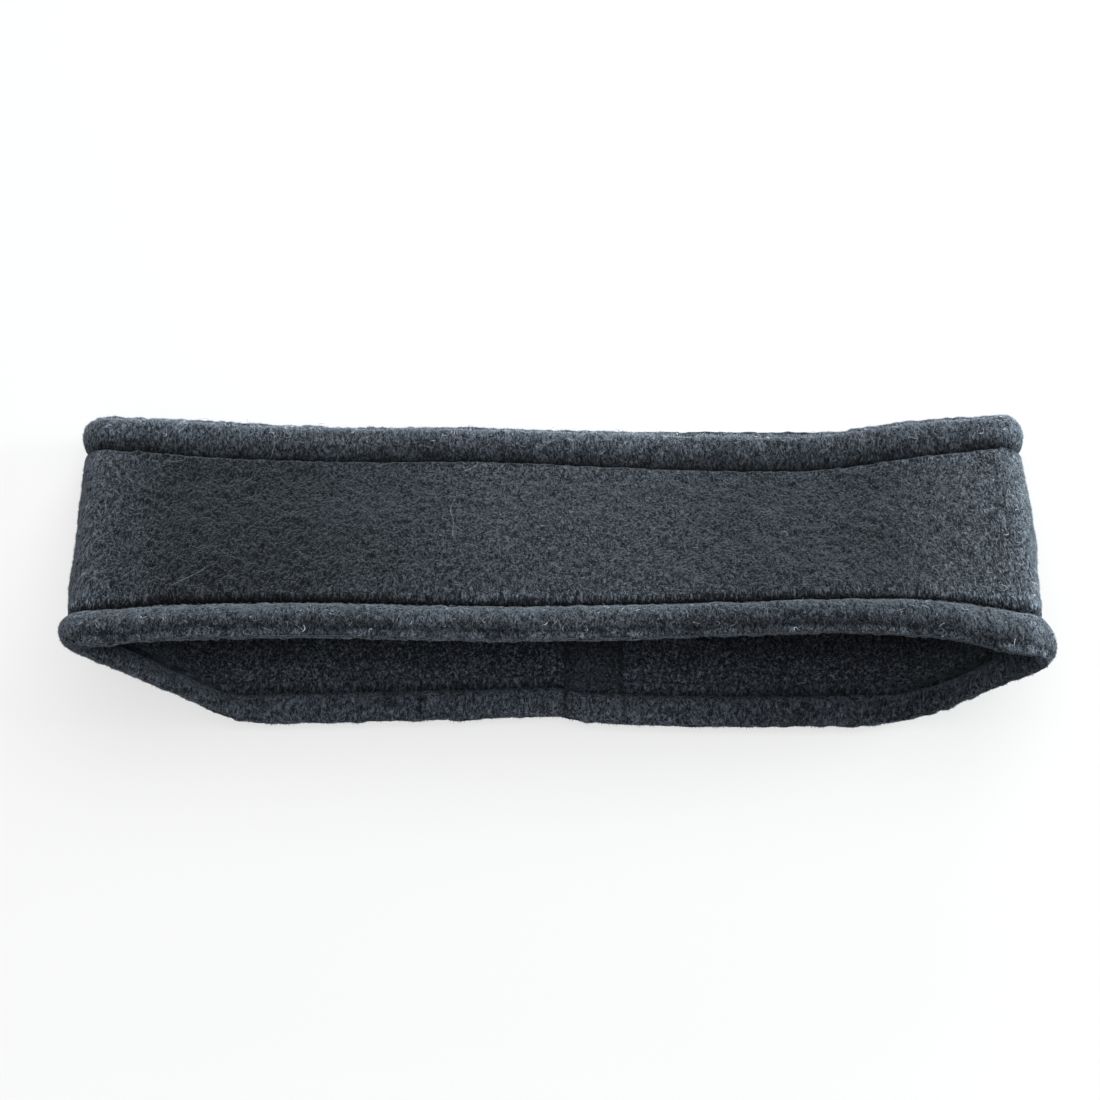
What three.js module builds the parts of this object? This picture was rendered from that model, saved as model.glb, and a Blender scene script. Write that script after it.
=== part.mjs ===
// Fleece headband: one strip of thick fleece, sewn into a loop at the back, both edges turned in and stitched.
// It lies on its back wall with the lower opening, its mouth, towards -Y. Millimetres, +Z up.
import * as THREE from "three";

// Cloth sizes
const BAND_HEIGHT = 97;
const WALL = 2.8;
const HEM_HEIGHT = 13;
const HEM_THICKNESS = 5.4;
const FLAP_HEIGHT = 10.3;
const CORNER = 0.9;
const GAP = 0.3;

// Sections across the loop, at shares of the band's height from its lower edge to its upper edge.
// Each section is a belt round four rollers. At the two heels the back wall turns up from the floor.
// At the two folds it turns over into the front wall. frontY is the front wall's place in depth.
const SECTIONS = [
  { share: 0.0, frontY: -48.2, heelLeftX: -71, heelLeftRadius: 26, heelRightX: 79, heelRightRadius: 44,
    foldRadius: 6.5, foldLeftX: -113.0, foldLeftZ: 34.2, foldRightX: 119.5, foldRightZ: 30.0 },
  { share: 0.13, frontY: -36.8, heelLeftX: -79, heelLeftRadius: 24, heelRightX: 84, heelRightRadius: 38,
    foldRadius: 6.5, foldLeftX: -115.0, foldLeftZ: 29.7, foldRightX: 118.0, foldRightZ: 28.2 },
  { share: 0.5, frontY: -2.3, heelLeftX: -97.5, heelLeftRadius: 17, heelRightX: 99, heelRightRadius: 22,
    foldRadius: 6.8, foldLeftX: -116.7, foldLeftZ: 18.8, foldRightX: 119.4, foldRightZ: 19.2 },
  { share: 0.87, frontY: 31.2, heelLeftX: -111, heelLeftRadius: 9, heelRightX: 112.5, heelRightRadius: 9.5,
    foldRadius: 7.0, foldLeftX: -118.0, foldLeftZ: 8.9, foldRightX: 119.5, foldRightZ: 9.4 },
  { share: 1.0, frontY: 44.0, heelLeftX: -115, heelLeftRadius: 7.5, heelRightX: 116.5, heelRightRadius: 7.5,
    foldRadius: 7.0, foldLeftX: -118.5, foldLeftZ: 7.6, foldRightX: 120.4, foldRightZ: 8.1 },
];

// Waves of the front wall, by share of the way across from the left fold to the right fold.
// lipY and edgeY shift its lower and upper edge in depth. lipZ, grooveZ and edgeZ lift it
// at the lower hem, at the upper stitch line and at the upper edge.
const FRONT_WAVES = [
  { across: 0.0, lipY: 0.0, edgeY: 0.0, lipZ: 0.0, grooveZ: 0.0, edgeZ: 0.0 },
  { across: 0.1, lipY: 0.0, edgeY: -0.8, lipZ: 0.9, grooveZ: -2.3, edgeZ: -1.0 },
  { across: 0.25, lipY: -0.2, edgeY: -2.4, lipZ: 2.4, grooveZ: -3.5, edgeZ: -1.9 },
  { across: 0.4, lipY: -0.8, edgeY: -2.6, lipZ: 2.3, grooveZ: -3.6, edgeZ: -2.0 },
  { across: 0.55, lipY: -1.2, edgeY: -3.8, lipZ: 3.6, grooveZ: -3.6, edgeZ: -2.1 },
  { across: 0.7, lipY: -0.4, edgeY: -4.8, lipZ: 4.8, grooveZ: -4.0, edgeZ: -2.2 },
  { across: 0.8, lipY: 0.2, edgeY: -4.6, lipZ: 5.2, grooveZ: -3.9, edgeZ: -2.1 },
  { across: 0.9, lipY: 0.3, edgeY: -1.4, lipZ: 3.2, grooveZ: -2.2, edgeZ: -0.9 },
  { across: 1.0, lipY: 0.0, edgeY: 0.0, lipZ: 0.0, grooveZ: 0.0, edgeZ: 0.0 },
];

// Lower edge of the back wall: its depth along X, with the small step where the strip's ends are joined
const BACK_EDGE = [
  { x: -80, y: -50.9 },
  { x: -50, y: -50.1 },
  { x: -20, y: -49.3 },
  { x: 2, y: -48.5 },
  { x: 9, y: -50.1 },
  { x: 40, y: -51.5 },
  { x: 95, y: -51.1 },
];
const BACK_FAR_Y = 45.8;
const EDGE_LIFT = 0.8;

// How far the hems stand proud of the panel on the front and round the folds
const LOWER_PUFF = { front: 0.6, leftFold: 1.7, rightFold: 1.2 };
const UPPER_PUFF = { front: 0.5, leftFold: 0.4, rightFold: 0.4 };
const FOLD_REACH = 14;

// Seam allowance inside the back wall
const SEAM_LEFT = 3.6;
const SEAM_RIGHT = 18.9;
const SEAM_THICKNESS = 2;
const SEAM_END_GAP = 0.8;

// Steps round the loop: floor, right rise, front wall and left rise, each with the arc that follows it
const RUN_STEPS = [24, 4, 30, 4];
const ARC_STEPS = [5, 8, 8, 5];
const EDGE_STEPS = 6;
const HEM_FACE_STEPS = 3;
const PANEL_FACE_STEPS = 8;
const FLOOR_RUN = 0;
const FRONT_RUN = 2;
const RIGHT_FOLD_ARC = 1;
const LEFT_FOLD_ARC = 2;
const SLOPE_STEP = 0.004;

const { lerp, clamp, smoothstep } = THREE.MathUtils;

// Smooth curve through the rows of a table: one column, read at a value of the key column
function readTable(rows, key, column, value) {
  const last = rows.length - 1;
  let i = 0;
  while (i < last - 1 && value > rows[i + 1][key]) {
    i += 1;
  }
  const slopeAt = (k) => {
    const before = rows[Math.max(k - 1, 0)];
    const after = rows[Math.min(k + 1, last)];
    return (after[column] - before[column]) / (after[key] - before[key]);
  };
  const span = rows[i + 1][key] - rows[i][key];
  const s = clamp((value - rows[i][key]) / span, 0, 1);
  const rise = s * s * (3 - 2 * s);
  const startBend = s * (1 - s) * (1 - s) * span * slopeAt(i);
  const endBend = s * s * (s - 1) * span * slopeAt(i + 1);
  return lerp(rows[i][column], rows[i + 1][column], rise) + startBend + endBend;
}

// The four rollers of the section at one share of the band's height
function rollersAt(share) {
  const read = (column) => readTable(SECTIONS, "share", column, share);
  const fold = read("foldRadius");
  return [
    { x: read("heelLeftX"), z: read("heelLeftRadius"), radius: read("heelLeftRadius") },
    { x: read("heelRightX"), z: read("heelRightRadius"), radius: read("heelRightRadius") },
    { x: read("foldRightX"), z: read("foldRightZ"), radius: fold },
    { x: read("foldLeftX"), z: read("foldLeftZ"), radius: fold },
  ];
}

// Direction of the belt's outward normal on the straight run from each roller to the next
function runAngles(rollers) {
  return rollers.map((roller, i) => {
    const next = rollers[(i + 1) % rollers.length];
    const dx = next.x - roller.x;
    const dz = next.z - roller.z;
    return Math.atan2(dz, dx) - Math.acos((roller.radius - next.radius) / Math.hypot(dx, dz));
  });
}

function onRoller(roller, angle) {
  return { x: roller.x + roller.radius * Math.cos(angle), z: roller.z + roller.radius * Math.sin(angle) };
}

// Samples round the belt, runs and arcs in turn, counter-clockwise as seen from the mouth
function beltSamples(share) {
  const rollers = rollersAt(share);
  const angles = runAngles(rollers);
  const samples = [];
  for (let i = 0; i < rollers.length; i += 1) {
    const roller = rollers[i];
    const next = rollers[(i + 1) % rollers.length];
    const from = onRoller(roller, angles[i]);
    const to = onRoller(next, angles[i]);
    for (let k = 0; k < RUN_STEPS[i]; k += 1) {
      const s = k / RUN_STEPS[i];
      samples.push({ run: i, s, x: lerp(from.x, to.x, s), z: lerp(from.z, to.z, s) });
    }
    const turn = THREE.MathUtils.euclideanModulo(angles[(i + 1) % angles.length] - angles[i], 2 * Math.PI);
    for (let k = 0; k < ARC_STEPS[i]; k += 1) {
      const s = k / ARC_STEPS[i];
      samples.push({ arc: i, s, ...onRoller(next, angles[i] + turn * s) });
    }
  }
  return samples;
}

// Distance round the belt at each sample, and the whole way round
function beltDistances(samples) {
  const distances = [0];
  samples.forEach((sample, i) => {
    const next = samples[(i + 1) % samples.length];
    distances.push(distances[i] + Math.hypot(next.x - sample.x, next.z - sample.z));
  });
  return distances;
}

// 0 on the floor, 1 on the front wall, and rising smoothly between them
function frontShare(distance, marks) {
  if (distance <= marks.frontStart) {
    return smoothstep(distance, marks.floorEnd, marks.frontStart);
  }
  return 1 - smoothstep(distance, marks.frontEnd, marks.whole);
}

// 1 at the middle of a fold, fading to 0 at FOLD_REACH from it
function nearFold(distance, middle) {
  return 1 - smoothstep(Math.abs(distance - middle), 0, FOLD_REACH);
}

// Points of the band's outer face round the loop at one share of its height
function loopRing(share) {
  const samples = beltSamples(share);
  const distances = beltDistances(samples);
  const firstOf = (kind, i) => samples.findIndex((sample) => sample[kind] === i);
  const middleOfArc = (i) => distances[firstOf("arc", i) + Math.floor(ARC_STEPS[i] / 2)];
  const marks = {
    floorEnd: distances[RUN_STEPS[FLOOR_RUN]],
    frontStart: distances[firstOf("run", FRONT_RUN)],
    frontEnd: distances[firstOf("arc", FRONT_RUN)],
    whole: distances[samples.length],
  };
  const hemShare = HEM_HEIGHT / BAND_HEIGHT;
  const lift = EDGE_LIFT * Math.max(0, 1 - share / hemShare) ** 2;
  const frontY = readTable(SECTIONS, "share", "frontY", share);
  return samples.map((sample, i) => {
    const front = frontShare(distances[i], marks);
    const wave = frontWave(sample.run === FRONT_RUN ? 1 - sample.s : 0, share);
    const backY = lerp(readTable(BACK_EDGE, "x", "y", sample.x), BACK_FAR_Y, share);
    return {
      point: new THREE.Vector3(
        sample.x,
        lerp(backY, frontY + wave.y, front),
        sample.z + wave.z + lift * (1 - front),
      ),
      front,
      leftFold: nearFold(distances[i], middleOfArc(LEFT_FOLD_ARC)),
      rightFold: nearFold(distances[i], middleOfArc(RIGHT_FOLD_ARC)),
    };
  });
}

// Shift of the front wall in depth and height, at a share across and a share of the band's height
function frontWave(across, share) {
  const read = (column) => readTable(FRONT_WAVES, "across", column, across);
  const lip = read("lipZ");
  const rows = [
    { share: SECTIONS[0].share, z: lip },
    { share: SECTIONS[1].share, z: lip },
    { share: SECTIONS[2].share, z: 0 },
    { share: SECTIONS[3].share, z: read("grooveZ") },
    { share: SECTIONS[4].share, z: read("edgeZ") },
  ];
  return { y: lerp(read("lipY"), read("edgeY"), share), z: readTable(rows, "share", "z", share) };
}

// The ring with its outward normals, from the slopes along and round the band
function ringWithNormals(share) {
  const ring = loopRing(share);
  const lower = loopRing(Math.max(share - SLOPE_STEP, 0));
  const upper = loopRing(Math.min(share + SLOPE_STEP, 1));
  const count = ring.length;
  return ring.map((entry, i) => {
    const round = ring[(i + 1) % count].point.clone().sub(ring[(i + count - 1) % count].point);
    const along = upper[i].point.clone().sub(lower[i].point);
    return { ...entry, normal: along.cross(round).normalize() };
  });
}

// One closed loop of cloth. The outline is its cross-section, as points with their share of the
// band's height, how far out from the outer face they lie, and how much of the puff they take.
function sweptLoop(outline, puff) {
  const positions = [];
  const indices = [];
  let count = 0;
  for (const corner of outline) {
    const ring = ringWithNormals(corner.share);
    count = ring.length;
    for (const entry of ring) {
      const folds = puff.leftFold * entry.leftFold + puff.rightFold * entry.rightFold;
      const out = corner.out + corner.crown * Math.max(puff.front * entry.front, folds);
      const vertex = entry.point.clone().addScaledVector(entry.normal, out);
      positions.push(vertex.x, vertex.y, vertex.z);
    }
  }
  for (let row = 0; row < outline.length; row += 1) {
    const nextRow = (row + 1) % outline.length;
    for (let i = 0; i < count; i += 1) {
      const next = (i + 1) % count;
      const a = row * count + i;
      const b = row * count + next;
      const c = nextRow * count + next;
      const d = nextRow * count + i;
      indices.push(a, c, b, a, d, c);
    }
  }
  return geometryFrom(positions, indices);
}

function geometryFrom(positions, indices) {
  const geometry = new THREE.BufferGeometry();
  geometry.setAttribute("position", new THREE.Float32BufferAttribute(positions, 3));
  geometry.setIndex(indices);
  geometry.computeVertexNormals();
  return geometry;
}

// Outline of a turned hem, from its inner face round the turned edge to the stitch line and the flap's end.
// toShare gives the share of the band's height at a distance from the hem's own edge.
function hemOutline(toShare) {
  const half = HEM_THICKNESS / 2;
  const outline = [];
  const add = (along, out) => {
    const crown = out > -half ? Math.sin((Math.PI * along) / HEM_HEIGHT) : 0;
    outline.push({ share: toShare(along), out, crown });
  };
  for (let k = 0; k <= EDGE_STEPS; k += 1) {
    const angle = (Math.PI * k) / EDGE_STEPS;
    add(half - half * Math.sin(angle), -half - half * Math.cos(angle));
  }
  for (let k = 1; k <= HEM_FACE_STEPS; k += 1) {
    add(lerp(half, HEM_HEIGHT - CORNER, k / HEM_FACE_STEPS), 0);
  }
  add(HEM_HEIGHT, -CORNER);
  add(HEM_HEIGHT, -WALL);
  add(FLAP_HEIGHT, -WALL);
  add(FLAP_HEIGHT, -HEM_THICKNESS + CORNER);
  add(FLAP_HEIGHT - CORNER, -HEM_THICKNESS);
  add((FLAP_HEIGHT + half) / 2, -HEM_THICKNESS);
  return outline;
}

// Outline of the panel: its outer face upwards, then its inner face back down
function panelOutline() {
  const low = HEM_HEIGHT + GAP;
  const high = BAND_HEIGHT - HEM_HEIGHT - GAP;
  const outline = [];
  const add = (along, out) => outline.push({ share: along / BAND_HEIGHT, out, crown: 0 });
  add(low, -CORNER);
  for (let k = 0; k <= PANEL_FACE_STEPS; k += 1) {
    add(lerp(low + CORNER, high - CORNER, k / PANEL_FACE_STEPS), 0);
  }
  add(high, -CORNER);
  for (let k = 0; k <= PANEL_FACE_STEPS; k += 1) {
    add(lerp(high, low, k / PANEL_FACE_STEPS), -WALL);
  }
  return outline;
}

// Flat strip of seam allowance, resting just above the back wall between the two hem flaps
function seamGeometry() {
  const nearY = readTable(BACK_EDGE, "x", "y", SEAM_LEFT) + FLAP_HEIGHT + SEAM_END_GAP;
  const farY = BACK_FAR_Y - FLAP_HEIGHT - SEAM_END_GAP;
  const low = WALL + GAP;
  const outline = new THREE.Shape();
  outline.moveTo(SEAM_LEFT, low);
  outline.lineTo(SEAM_RIGHT, low);
  outline.lineTo(SEAM_RIGHT, low + SEAM_THICKNESS - CORNER);
  outline.lineTo(SEAM_RIGHT - CORNER, low + SEAM_THICKNESS);
  outline.lineTo(SEAM_LEFT + CORNER, low + SEAM_THICKNESS);
  outline.lineTo(SEAM_LEFT, low + SEAM_THICKNESS - CORNER);
  outline.closePath();
  const geometry = new THREE.ExtrudeGeometry(outline, { depth: farY - nearY, bevelEnabled: false });
  geometry.rotateX(Math.PI / 2);
  geometry.translate(0, farY, 0);
  return geometry;
}

function clothMesh(name, geometry, colour) {
  const material = new THREE.MeshStandardMaterial({ color: colour, roughness: 1, metalness: 0 });
  const mesh = new THREE.Mesh(geometry, material);
  mesh.name = name;
  return mesh;
}

// The assembly, with its origin under the middle of its own box, on the floor
const upFromLowerEdge = (along) => along / BAND_HEIGHT;
const downFromUpperEdge = (along) => 1 - along / BAND_HEIGHT;
const headband = new THREE.Group();
headband.add(
  clothMesh("band_panel", sweptLoop(panelOutline(), LOWER_PUFF), 0x3d4248),
  clothMesh("bottom_hem", sweptLoop(hemOutline(upFromLowerEdge), LOWER_PUFF), 0x40464c),
  clothMesh("top_hem", sweptLoop(hemOutline(downFromUpperEdge).reverse(), UPPER_PUFF), 0x41474d),
  clothMesh("back_seam", seamGeometry(), 0x3a3f45),
);
const box = new THREE.Box3().setFromObject(headband);
const middle = box.getCenter(new THREE.Vector3());
headband.position.set(-middle.x, -middle.y, -box.min.z);

export default headband;
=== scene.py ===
"""Looks of a fleece headband that lies on its back wall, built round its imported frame. Lengths in the
tables are millimetres, and every mesh is made in metres in the frame's own axes."""
import math

import bpy
import numpy as np
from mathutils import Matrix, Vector


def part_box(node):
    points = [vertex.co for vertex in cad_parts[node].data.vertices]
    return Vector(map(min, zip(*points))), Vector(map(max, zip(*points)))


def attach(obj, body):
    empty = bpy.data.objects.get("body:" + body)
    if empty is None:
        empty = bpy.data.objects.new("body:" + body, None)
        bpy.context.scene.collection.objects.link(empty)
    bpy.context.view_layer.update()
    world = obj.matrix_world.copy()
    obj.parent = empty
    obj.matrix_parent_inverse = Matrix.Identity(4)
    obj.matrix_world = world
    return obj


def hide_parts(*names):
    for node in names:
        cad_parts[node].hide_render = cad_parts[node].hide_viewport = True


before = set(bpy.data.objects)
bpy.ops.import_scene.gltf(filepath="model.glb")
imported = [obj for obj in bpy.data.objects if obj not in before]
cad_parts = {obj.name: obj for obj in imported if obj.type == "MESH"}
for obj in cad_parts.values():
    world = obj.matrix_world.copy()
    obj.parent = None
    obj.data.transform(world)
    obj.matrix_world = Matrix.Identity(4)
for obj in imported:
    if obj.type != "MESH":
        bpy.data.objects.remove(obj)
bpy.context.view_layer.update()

MM = 0.001


def table(columns, *rows):
    """Rows of values, each with the names of its columns."""
    return [dict(zip(columns.split(), row)) for row in rows]


# Cloth sizes
BAND_HEIGHT = 97
WALL = 2.8
HEM_HEIGHT = 13
HEM_THICKNESS = 5.4
FLAP_HEIGHT = 10.3
FLAP_SHOWN = 9.0
BETWEEN_LAYERS = -HEM_THICKNESS / 2
FACE_MARGIN = 0.1

# Sections across the loop, at shares of the band's height: a belt round two heels and two folds
SECTIONS = table(
    "share front_y heel_left_x heel_left_radius heel_right_x heel_right_radius fold_radius "
    "fold_left_x fold_left_z fold_right_x fold_right_z",
    (0.0, -48.2, -71, 26, 79, 44, 6.5, -113.0, 34.2, 119.5, 30.0),
    (0.13, -36.8, -79, 24, 84, 38, 6.5, -115.0, 29.7, 118.0, 28.2),
    (0.5, -2.3, -97.5, 17, 99, 22, 6.8, -116.7, 18.8, 119.4, 19.2),
    (0.87, 31.2, -111, 9, 112.5, 9.5, 7.0, -118.0, 8.9, 119.5, 9.4),
    (1.0, 44.0, -115, 7.5, 116.5, 7.5, 7.0, -118.5, 7.6, 120.4, 8.1),
)

# Waves of the front wall, by share of the way across from the left fold to the right fold
FRONT_WAVES = table(
    "across lip_y edge_y lip_z groove_z edge_z",
    (0.0, 0.0, 0.0, 0.0, 0.0, 0.0),
    (0.1, 0.0, -0.8, 0.9, -2.3, -1.0),
    (0.25, -0.2, -2.4, 2.4, -3.5, -1.9),
    (0.4, -0.8, -2.6, 2.3, -3.6, -2.0),
    (0.55, -1.2, -3.8, 3.6, -3.6, -2.1),
    (0.7, -0.4, -4.8, 4.8, -4.0, -2.2),
    (0.8, 0.2, -4.6, 5.2, -3.9, -2.1),
    (0.9, 0.3, -1.4, 3.2, -2.2, -0.9),
    (1.0, 0.0, 0.0, 0.0, 0.0, 0.0),
)

# Lower edge of the back wall: its depth along X, with the step where the strip's ends are joined
BACK_EDGE = table(
    "x y",
    (-80, -50.9),
    (-50, -50.1),
    (-20, -49.3),
    (2, -48.5),
    (9, -50.1),
    (40, -51.5),
    (95, -51.1),
)
BACK_FAR_Y = 45.8
EDGE_LIFT = 0.8

# How far the hems stand proud of the panel on the front and round the folds
LOWER_PUFF = {"front": 1.2, "left_fold": 2.3, "right_fold": 1.5}
UPPER_PUFF = {"front": 1.0, "left_fold": 0.5, "right_fold": 0.5}
NO_PUFF = {"front": 0, "left_fold": 0, "right_fold": 0}
FOLD_REACH = 14

# Seam allowance inside the back wall. Its sides reach into the wall, it is pressed flatter than its solid,
# with a slight crown and rounded sides, and its ends are tucked under the flaps.
SEAM_LEFT = 3.6
SEAM_RIGHT = 18.9
SEAM_THICKNESS = 2.0
SEAM_END_GAP = 0.8
SEAM_LINE = (SEAM_LEFT + SEAM_RIGHT) / 2
SEAM = {"into_wall": 0.6, "pressed": 0.8, "crown": 0.15, "tuck": 1.0, "step": 0.6, "under_step": 1.5}
SEAM_ROWS = 120
SEAM_ROUND = table(
    "in down",
    (0.1, 0.8),
    (0.9, 0.0),
)

# Stitch lines: how deep each side sinks into the groove, and how far from the line it starts to sink
PANEL_SINK = {"depth": 1.9, "reach": 2.4}
HEM_SINK = {"depth": 2.6, "reach": 6.5}
PUCKER = {"height": 0.45, "reach": 2.2}

# Stitches, each arched: how many radii its middle rises, and how many its ends drop from there
STITCH_PITCH = 3.0
STITCH_LENGTH = 2.3
STITCH_RADIUS = 0.25
STITCH_OUT = -2.6
STITCH_ARCH = {"rise": 2, "drop": 3}
STITCH_STEPS = 12
STITCH_POINTS = 6

# Outlines: a hem's round, the slot between its layers, its flap's cut end, by how far a place lies past
# it and under the slot, and how far the panel goes past its stitch lines and under the flaps
HEM_ROUND = 5.5
SLOT = {"width": 0.2, "from_edge": 0.6, "from_line": 0.6, "round": 0.2}
FLAP_END = table(
    "past under",
    (0.0, 0.1),
    (0.1, 0.9),
    (-0.4, 1.5),
    (-1.5, 2.1),
    (-3.2, 2.7),
)
PAST_LINE = 0.1
TUCK_UNDER = 0.7

# How far the sewing wanders up the band on the front wall
WANDER = table(
    "across lower upper",
    (0.0, 0.0, 0.0),
    (0.1, 2.1, -0.2),
    (0.3, 2.1, 0.6),
    (0.45, 1.6, 0.8),
    (0.6, 1.6, -0.4),
    (0.78, 1.5, -0.9),
    (0.92, 2.5, -0.9),
    (1.0, 0.6, 0.0),
)

# How far the cloth's ground lies under the ends of its fibres, between what heights above the floor that
# sets in, and how far the turned edges are drawn up the band for it
GROUND = 0.5
OFF_FLOOR = {"low": 0.5, "high": 3.0}
EDGE_SHIFT = {"lower_front": 1.3, "lower_back": 0.1, "upper": -0.8, "reach": 4.0}

# How far the lower turned edge hangs out at the folds, where it rolls round them
FOLD_DROP = {"left": 2.2, "right": 3.2, "reach": 9.0, "across": 0.1, "front": 0.3}

# Ridge along the turned edge, by how far out it lies, with the broken crease above it and the dashes
# of its tone. Both patterns are longer along the edge than across it.
EDGE_BAND = HEM_HEIGHT / 3
RIDGE = {"out": -2.1, "width": 0.7, "height": 0.3}
CREASE = {"out": -0.9, "width": 0.45, "depth": 0.8, "length": 7.0}
CREASE_BROKEN = {"low": -0.35, "high": 0.25}
DASHES = {"gain": 0.8, "length": 2.6, "reach": 1.2}
ALONG_LINE = (1, 0.2, 0.2)
ALONG_EDGE = (1, 0.3, 0.3)

# Mesh steps: points round the loop, spacing along each outline, points on its rounds and faces, and
# the small gaps that keep two parts of it from sharing a place
FRONT_COLUMNS = 0.68
PANEL_AROUND = 560
PANEL_OUTER_STEP = 0.6
PANEL_INNER_STEP = 2.0
PANEL_POINTS = 400
HEM_AROUND = 840
HEM_STEP = 0.5
STITCH_END_STEP = 0.7
SLOT_STEP = 2.6
SLOPE_STEP = 0.004
ARC_POINTS = 48
UNDER_POINTS = 9
OVER_POINTS = 12
FACE_POINTS = 40
OUTLINE_GAP = {"angle": 0.1, "along": 0.2}

# Relief of the pile: swells of the cloth, clumps and tufts, the last two longer up the band than round
# it, and rougher near the turned edges
SWELL = {"wavelength": 26.0, "height": 0.35}
CLUMP = {"wavelength": 3.4, "height": 0.2}
TUFT = {"wavelength": 1.5, "height": 0.22}
EDGE_ROUGH = {"gain": 0.6, "reach": 4.0}
BRUSHED_PILE = (1.0, 0.55, 0.7)
CLOTH_FLOOR = 0.05

# Fibres that stand out of the pile, on places higher than NAP_ABOVE. Beside a stitch line the cloth is
# bare, and past the reach they have their whole length. Their roots lie under the face.
FIBRE = {"length": (0.3, 0.75), "radius": (0.06, 0.12), "rise": (0.2, 1.0), "twist": 0.3, "root": 0.1,
         "floor": 0.03, "tone_limit": 1.8}
FIBRE_LEAN = (1.0, 1.9, 1.0)
BARE_AT_LINE = {"outside": 2.2, "inside": 1.1}
FLUFF_REACH = {"outside": 4.5, "inside": 3}
NAP_ABOVE = 0.6
PANEL_FIBRES = 48000
HEM_FIBRES = 30000
INSIDE_FIBRES = 5000
INSIDE_FLUFF = 0.4
INSIDE_NAP = {"front": 0.6, "along": 80}

# Smooth noise: how a place's three cell numbers and the seed are mixed into one number
CELL_FACTORS = (73856093, 19349663, 83492791)
SEED_FACTOR = 2654435761
MIXING = ((13, 1274126177), (16, 2246822519))

# Seeds of the relief's noise and of the random draws
SEEDS = {"panel": 7, "panel_nap": 47, "inside_nap": 48, "panel_curls": 49, "bottom_hem": 17,
         "bottom_hem_nap": 42, "top_hem": 14, "top_hem_nap": 39, "dashes": 67, "seam": 90}

# Painted light and shade of the pile: by height in its own hem, by distance from the stitch line, and by how
# far out a place lies on a turned edge. Painted highlights on rims, shoulders and ridges; painted shade in
# grooves and creases.
HEM_PAINTED_LIGHT = table(
    "along lower upper",
    (0.0, 0.85, 3.0),
    (0.6, 0.9, 2.7),
    (1.4, 0.68, 2.2),
    (2.6, 0.75, 1.7),
    (5.0, 0.85, 1.25),
    (9.0, 1.05, 0.8),
    (11.5, 1.2, 0.4),
    (12.4, 0.8, 0.12),
    (13.0, 0.1, 0.08),
)
PANEL_PAINTED_LIGHT = table(
    "from_line lower upper",
    (0.0, 0.1, 0.04),
    (0.7, 0.55, 0.12),
    (1.5, 0.72, 0.45),
    (2.5, 0.82, 0.8),
    (6.0, 0.62, 0.7),
    (12.0, 0.58, 0.6),
)
EDGE_PAINTED_LIGHT = table(
    "out lower under upper",
    (-2.6, 0.85, 1.4, 0.5),
    (-1.9, 1.35, 1.5, 0.95),
    (-1.1, 0.55, 1.5, 1.0),
    (-0.5, 1.0, 1.2, 1.0),
)

# Painted light and shade of the inner face, up from the mouth and across it, darker deeper in, with a painted
# shade line at the flap's cut end
INSIDE_PAINTED_LIGHT = table(
    "along lower upper",
    (0.0, 1.2, 0.5),
    (3.0, 1.35, 0.7),
    (7.0, 1.7, 1.0),
    (16.0, 1.7, 1.0),
    (36.0, 0.75, 0.8),
)
INSIDE_ACROSS_PAINTED_LIGHT = table(
    "x tone",
    (-90, 0.95),
    (-30, 1.1),
    (11, 1.2),
    (50, 0.78),
    (90, 0.62),
)
FLAP_END_PAINTED_SHADE = {"depth": 0.97, "width": 1.25}
# Painted shade at the seam allowance's sides, by distance to the nearer side
SEAM_SIDE_PAINTED_SHADE = table(
    "to_side tone",
    (0.2, 0.25),
    (1.8, 1.0),
)

# Painted light and shade across the front, and how much painted highlight is added at the folds
TONE_LIMIT = 1.9
FOLD_PAINTED_HIGHLIGHT = {"left": 0.35, "right": 0.85}
FRONT_PAINTED_LIGHT = table(
    "across panel hem",
    (0.0, 1.0, 1.1),
    (0.08, 0.32, 1.08),
    (0.22, 0.29, 1.0),
    (0.32, 0.53, 1.02),
    (0.45, 0.85, 1.18),
    (0.6, 0.84, 1.18),
    (0.7, 0.58, 0.86),
    (0.85, 0.54, 0.92),
    (0.93, 1.15, 1.05),
    (1.0, 1.5, 1.3),
)

# Dark lines across the lower hem; the two on the inside at the seam allowance's sides are painted shade
# beside it
HEM_DARK_LINES = table(
    "x inside depth",
    (-33.0, True, 0.7),
    (3.6, True, 0.6),
    (18.9, True, 0.45),
    (-12.7, False, 0.35),
)
HEM_DARK_LINE_WIDTH = 0.7

# Curled fibres, where the pile is long enough and faces up, and single long ones across the front. Each
# is a thin pointed tube, and none runs along TUBE_SIDE.
CURL = {"length": (1.0, 3.2), "lift": (0.2, 0.6), "bend": 0.5, "radius": 0.055, "heading": (2, 1, 1),
        "fluff": 0.5, "facing_up": 0.75, "tone": 0.9, "paler": 1.9, "tip": 0.8}
CURL_POINTS = 7
PANEL_CURLS = 900
HEM_CURLS = 260
PANEL_STRAYS = table(
    "x along to_x to_along bow curls",
    (-19.5, 82.2, -23.2, 76.0, 1.2, 1),
    (-24.7, 66.3, -24.2, 40.2, -0.8, 4),
    (59.0, 45.8, 60.5, 42.7, 0.8, 1),
    (-87.0, 26.3, -95.4, 18.1, 1.0, 2),
    (-97.8, 21.2, -97.2, 20.2, 0.2, 1),
)
HEM_STRAYS = table(
    "x along to_x to_along bow curls",
    (-75.4, 3.0, -74.8, 12.8, 1.2, 1),
)
STRAY = {"lift": 0.9, "radius": 0.05, "tone": 1.0, "front": 0.9, "margin": 0.2, "curl": (0.45, 0.18, 0)}
STRAY_POINTS = 16
TUBE_SIDE = (0.3, 0.2, 1.0)
TUBE_END = {"first": 0.35, "less": 0.3}

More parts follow.
